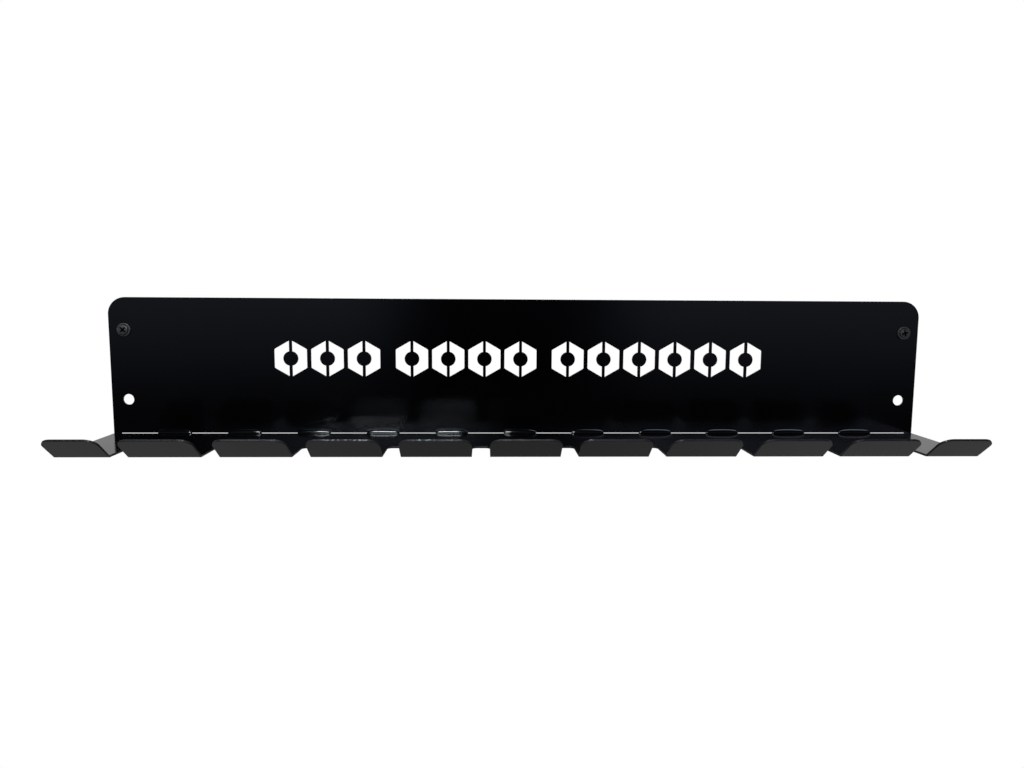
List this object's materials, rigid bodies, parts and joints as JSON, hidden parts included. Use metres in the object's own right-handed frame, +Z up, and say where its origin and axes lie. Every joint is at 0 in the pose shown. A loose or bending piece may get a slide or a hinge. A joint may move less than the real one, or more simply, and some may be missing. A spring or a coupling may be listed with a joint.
{
  "type": "wall-mounted air tool rack",
  "caption": "Folded black steel wall rack: a slotted shelf with turned-up lips hangs air tools by their plugs, under a screwed back plate.",
  "frame": {"origin": "on the wall, at the back face of the back plate, midway between the two upper screw holes", "axes": "+Z up, +X along the rack to the viewer's right, +Y into the wall, so the shelf comes out along -Y"},
  "size_m": [0.6096, 0.1311, 0.1031],
  "materials": {
    "powder_coat": "semi-gloss black powder coat on 1.5 mm steel",
    "black_screw_steel": "matt black phosphate on steel"
  },
  "bodies": {
    "root": {"rack_body": "powder_coat", "screw_left": "black_screw_steel", "screw_right": "black_screw_steel"}
  },
  "joints": []
}
